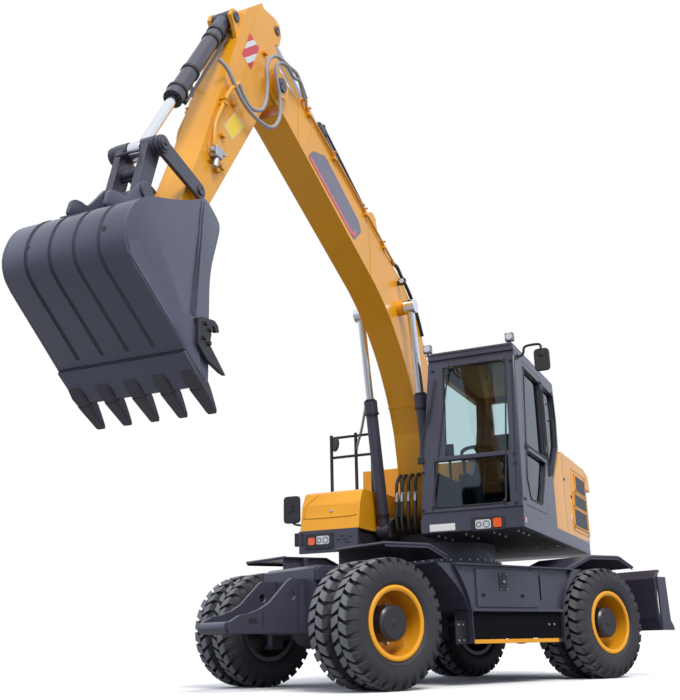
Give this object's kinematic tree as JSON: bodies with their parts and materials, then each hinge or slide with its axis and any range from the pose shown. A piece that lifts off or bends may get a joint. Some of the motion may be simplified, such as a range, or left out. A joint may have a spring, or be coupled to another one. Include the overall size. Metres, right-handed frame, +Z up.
{
  "type": "wheeled excavator",
  "caption": "Wheeled excavator with twin tyres, a cab beside a bent boom, a raised arm with a toothed bucket and a dozer blade behind the rear wheels.",
  "frame": {"origin": "on the ground under the slewing axis", "axes": "+X forward along the undercarriage, towards the steered axle; +Y to its left; +Z up"},
  "size_m": [7.8799, 4.8674, 5.365],
  "materials": {
    "yellow_paint": "gloss golden yellow paint",
    "dark_paint": "satin dark violet-grey paint",
    "counterweight_iron": "satin dark violet-grey paint on cast iron",
    "axle_iron": "satin dark violet-grey paint on cast iron",
    "engine_iron": "plain dark grey",
    "rod_chrome": "polished hard chrome",
    "tyre_rubber": "matt black rubber, dusty",
    "tinted_glass": "teal tinted safety glass",
    "seat_fabric": "woven dark fabric",
    "black_plastic": "matt black",
    "lamp_plastic": "clear and orange lenses"
  },
  "bodies": {
    "chassis": {"chassis_frame": "dark_paint", "side_boxes": "dark_paint", "steps": "dark_paint", "fenders": "dark_paint", "slew_ring": "dark_paint", "axles": "axle_iron", "driveline": "dark_paint"},
    "house": {"upper_frame": "dark_paint", "skirts": "dark_paint", "counterweight": "counterweight_iron", "hood": "yellow_paint", "grilles": "black_plastic", "engine_block": "engine_iron", "exhaust": "dark_paint", "right_box": "yellow_paint", "cab_floor": "dark_paint", "cab_roof": "dark_paint", "cab_walls": "dark_paint", "cab_glass": "tinted_glass", "cab_seat": "seat_fabric", "cab_controls": "black_plastic", "handrails": "dark_paint", "mirrors": "black_plastic", "lamps": "lamp_plastic"},
    "door": {"cab_door": "dark_paint", "door_glass": "tinted_glass"},
    "boom": {"boom": "yellow_paint"},
    "boom_barrels": {"boom_barrels": "dark_paint"},
    "boom_rods": {"boom_rods": "rod_chrome"},
    "arm": {"arm": "yellow_paint"},
    "arm_barrel": {"arm_barrel": "dark_paint"},
    "arm_rod": {"arm_rod": "rod_chrome"},
    "bucket_barrel": {"bucket_barrel": "dark_paint"},
    "bucket_rod": {"bucket_rod": "rod_chrome"},
    "tipping_link": {"tipping_link": "dark_paint"},
    "idler_links": {"idler_links": "dark_paint"},
    "bucket": {"bucket": "dark_paint"},
    "blade": {"blade": "dark_paint"},
    "blade_arms": {"blade_arms": "dark_paint"},
    "blade_links": {"blade_links": "dark_paint"},
    "blade_barrels": {"blade_barrels": "dark_paint"},
    "blade_rods": {"blade_rods": "rod_chrome"},
    "knuckle_left": {"knuckle_left": "dark_paint"},
    "knuckle_right": {"knuckle_right": "dark_paint"},
    "steering_rod": {"steering_rod": "rod_chrome"},
    "wheel_front_left": {"tyres_front_left": "tyre_rubber", "rims_front_left": "yellow_paint"},
    "wheel_front_right": {"tyres_front_right": "tyre_rubber", "rims_front_right": "yellow_paint"},
    "wheel_rear_left": {"tyres_rear_left": "tyre_rubber", "rims_rear_left": "yellow_paint"},
    "wheel_rear_right": {"tyres_rear_right": "tyre_rubber", "rims_rear_right": "yellow_paint"}
  },
  "joints": [
    {"name": "swing", "type": "hinge", "parent": "chassis", "child": "house", "pos_m": [0, 0, 1.3], "axis": [0, 0, 1], "continuous": true},
    {"name": "boom_lift", "type": "hinge", "parent": "house", "child": "boom", "pos_m": [0.29532, -0.02973, 1.72], "axis": [0.452, -0.892, 0], "range_deg": [-75, 23]},
    {"name": "boom_barrel_tilt", "type": "hinge", "parent": "house", "child": "boom_barrels", "pos_m": [0.60754, 0.12846, 1.435], "axis": [0.452, -0.892, 0], "range_deg": [-75, 23]},
    {"name": "boom_rod_slide", "type": "slide", "parent": "boom_barrels", "child": "boom_rods", "axis": [0.1825, 0.0925, 0.9788], "range_m": [-0.5515, 0.1695]},
    {"name": "arm_crowd", "type": "hinge", "parent": "boom", "child": "arm", "pos_m": [3.29256, 1.48888, 4.655], "axis": [-0.452, 0.892, 0], "range_deg": [-64, 36]},
    {"name": "arm_barrel_tilt", "type": "hinge", "parent": "boom", "child": "arm_barrel", "pos_m": [1.45497, 0.55782, 4.355], "axis": [-0.452, 0.892, 0], "range_deg": [-2, 2]},
    {"name": "arm_rod_slide", "type": "slide", "parent": "arm_barrel", "child": "arm_rod", "axis": [0.8094, 0.4101, 0.4202], "range_m": [-0.625, 0.352]},
    {"name": "bucket_curl", "type": "hinge", "parent": "arm", "child": "bucket", "pos_m": [4.40582, 2.05293, 2.843], "axis": [-0.452, 0.892, 0], "range_deg": [-70, 65]},
    {"name": "idler_turn", "type": "hinge", "parent": "arm", "child": "idler_links", "pos_m": [4.2845, 1.99147, 3.207], "axis": [-0.452, 0.892, 0], "range_deg": [-66, 62]},
    {"name": "tipping_link_turn", "type": "hinge", "parent": "idler_links", "child": "tipping_link", "pos_m": [4.66808, 2.18581, 3.328], "axis": [-0.452, 0.892, 0], "range_deg": [-64, 69]},
    {"name": "bucket_barrel_tilt", "type": "hinge", "parent": "arm", "child": "bucket_barrel", "pos_m": [3.81172, 1.75192, 4.938], "axis": [-0.452, 0.892, 0], "range_deg": [-5, 5]},
    {"name": "bucket_rod_slide", "type": "slide", "parent": "bucket_barrel", "child": "bucket_rod", "axis": [0.4568, 0.2315, -0.8589], "range_m": [-0.43, 0.4]},
    {"name": "blade_lift", "type": "hinge", "parent": "chassis", "child": "blade_arms", "pos_m": [-1.43, 0, 0.47], "axis": [0, 1, 0], "range_deg": [-75, 8]},
    {"name": "blade_link_turn", "type": "hinge", "parent": "chassis", "child": "blade_links", "pos_m": [-1.43, 0, 0.74], "axis": [0, 1, 0], "range_deg": [-75, 8]},
    {"name": "blade_level", "type": "hinge", "parent": "blade_arms", "child": "blade", "pos_m": [-1.8, 0, 0.64], "axis": [0, 1, 0], "range_deg": [-8, 75]},
    {"name": "blade_barrel_tilt", "type": "hinge", "parent": "chassis", "child": "blade_barrels", "pos_m": [-1.425, 0, 0.93], "axis": [0, 1, 0], "range_deg": [-14, 2]},
    {"name": "blade_rod_slide", "type": "slide", "parent": "blade_barrels", "child": "blade_rods", "axis": [-0.452, 0, -0.892], "range_m": [-0.025, 0.226]},
    {"name": "cab_door", "type": "hinge", "parent": "house", "child": "door", "pos_m": [-0.44217, 1.0674, 2.2], "axis": [0, 0, 1], "range_deg": [0, 150]},
    {"name": "steer_left", "type": "hinge", "parent": "chassis", "child": "knuckle_left", "pos_m": [1.75, 0.6, 0.52], "axis": [0, 0, 1], "range_deg": [-25, 25]},
    {"name": "steer_right", "type": "hinge", "parent": "chassis", "child": "knuckle_right", "pos_m": [1.75, -0.6, 0.52], "axis": [0, 0, 1], "range_deg": [-25, 25]},
    {"name": "steering_rod_slide", "type": "slide", "parent": "chassis", "child": "steering_rod", "axis": [0, -1, 0], "range_m": [-0.093, 0.093]},
    {"name": "wheel_spin_front_left", "type": "hinge", "parent": "knuckle_left", "child": "wheel_front_left", "pos_m": [1.75, 0.905, 0.52], "axis": [0, 1, 0], "continuous": true},
    {"name": "wheel_spin_front_right", "type": "hinge", "parent": "knuckle_right", "child": "wheel_front_right", "pos_m": [1.75, -0.905, 0.52], "axis": [0, 1, 0], "continuous": true},
    {"name": "wheel_spin_rear_left", "type": "hinge", "parent": "chassis", "child": "wheel_rear_left", "pos_m": [-1.05, 0.905, 0.52], "axis": [0, 1, 0], "continuous": true},
    {"name": "wheel_spin_rear_right", "type": "hinge", "parent": "chassis", "child": "wheel_rear_right", "pos_m": [-1.05, -0.905, 0.52], "axis": [0, 1, 0], "continuous": true}
  ],
  "couplings": [
    {"joint": "boom_barrel_tilt", "follows": "boom_lift", "ratio": 0.9951},
    {"joint": "boom_rod_slide", "follows": "boom_lift", "m_per_rad": 0.421},
    {"joint": "arm_barrel_tilt", "follows": "arm_crowd", "ratio": 0.0076},
    {"joint": "arm_rod_slide", "follows": "arm_crowd", "m_per_rad": 0.5568},
    {"joint": "idler_turn", "follows": "bucket_curl", "ratio": 0.9277},
    {"joint": "tipping_link_turn", "follows": "bucket_curl", "ratio": -0.9629},
    {"joint": "bucket_barrel_tilt", "follows": "bucket_curl", "ratio": 0.0441},
    {"joint": "bucket_rod_slide", "follows": "bucket_curl", "m_per_rad": 0.3473},
    {"joint": "blade_link_turn", "follows": "blade_lift", "ratio": 1},
    {"joint": "blade_level", "follows": "blade_lift", "ratio": -1},
    {"joint": "blade_barrel_tilt", "follows": "blade_lift", "ratio": 0.1752},
    {"joint": "blade_rod_slide", "follows": "blade_lift", "m_per_rad": -0.1713},
    {"joint": "steer_right", "follows": "steer_left", "ratio": 1},
    {"joint": "steering_rod_slide", "follows": "steer_left", "m_per_rad": 0.2105}
  ]
}
